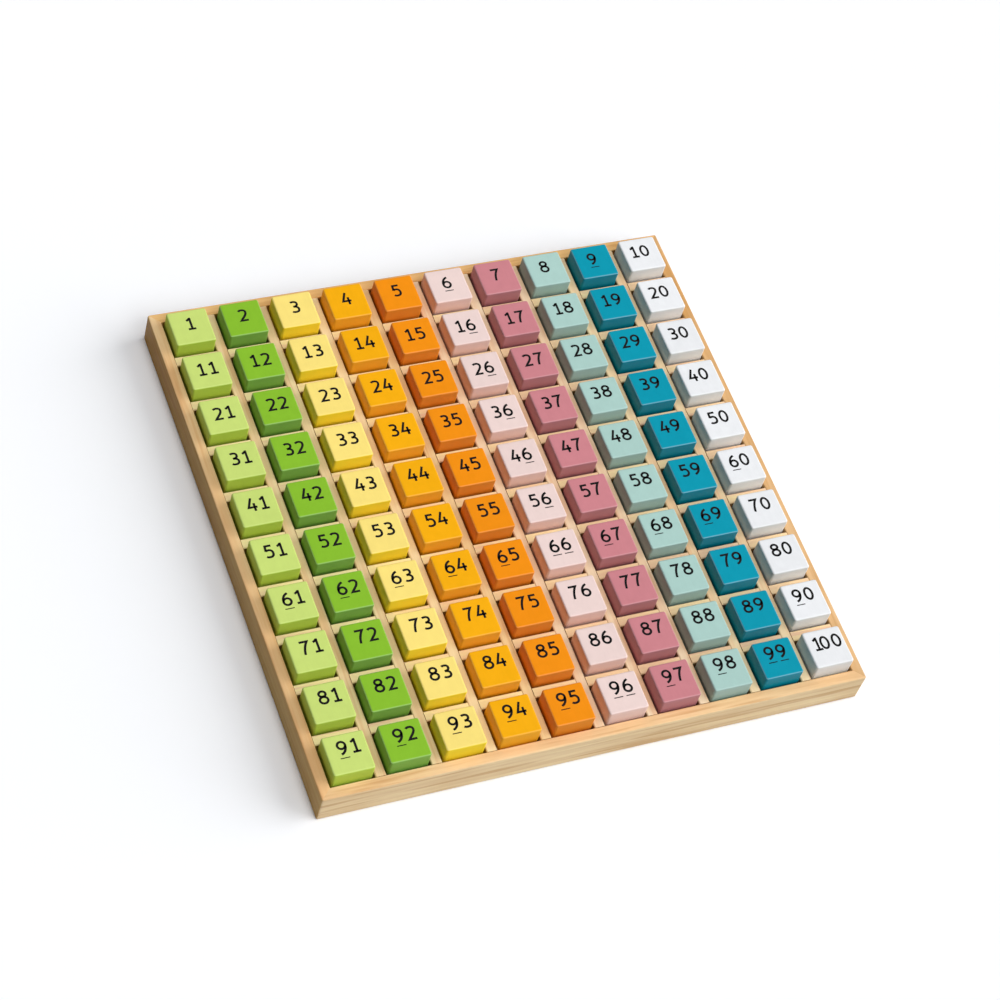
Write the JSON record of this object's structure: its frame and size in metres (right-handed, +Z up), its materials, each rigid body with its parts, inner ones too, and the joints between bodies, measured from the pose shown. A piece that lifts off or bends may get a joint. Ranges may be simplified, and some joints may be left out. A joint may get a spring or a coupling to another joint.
{
  "type": "number counting tray",
  "caption": "Square wooden tray with a low mitred frame and a grid of dividers, holding painted number cubes in rows, coloured by column.",
  "frame": {"origin": "on the floor, under the middle of the tray", "axes": "+X along a row of numbers from low to high, +Y from the front rail to the back rail, +Z up"},
  "size_m": [0.325, 0.325, 0.0305],
  "materials": {
    "frame_wood": "pale softwood, clear satin lacquer",
    "divider_wood": "pale softwood, clear satin lacquer",
    "base_plywood": "pale plywood, unpainted",
    "paint_lime": "satin paint on wood",
    "paint_green": "satin paint on wood",
    "paint_yellow": "satin paint on wood",
    "paint_amber": "satin paint on wood",
    "paint_orange": "satin paint on wood",
    "paint_blush": "satin paint on wood",
    "paint_rose": "satin paint on wood",
    "paint_mint": "satin paint on wood",
    "paint_teal": "satin paint on wood",
    "paint_white": "satin paint on wood"
  },
  "bodies": {
    "root": {"rail_front": "frame_wood", "rail_right": "frame_wood", "rail_back": "frame_wood", "rail_left": "frame_wood", "base_board": "base_plywood", "divider_column_1": "divider_wood", "divider_column_2": "divider_wood", "divider_column_3": "divider_wood", "divider_column_4": "divider_wood", "divider_column_5": "divider_wood", "divider_column_6": "divider_wood", "divider_column_7": "divider_wood", "divider_column_8": "divider_wood", "divider_column_9": "divider_wood", "divider_row_1": "divider_wood", "divider_row_2": "divider_wood", "divider_row_3": "divider_wood", "divider_row_4": "divider_wood", "divider_row_5": "divider_wood", "divider_row_6": "divider_wood", "divider_row_7": "divider_wood", "divider_row_8": "divider_wood", "divider_row_9": "divider_wood", "blocks_lime": "paint_lime", "blocks_green": "paint_green", "blocks_yellow": "paint_yellow", "blocks_amber": "paint_amber", "blocks_orange": "paint_orange", "blocks_blush": "paint_blush", "blocks_rose": "paint_rose", "blocks_mint": "paint_mint", "blocks_teal": "paint_teal", "blocks_white": "paint_white"}
  },
  "joints": []
}
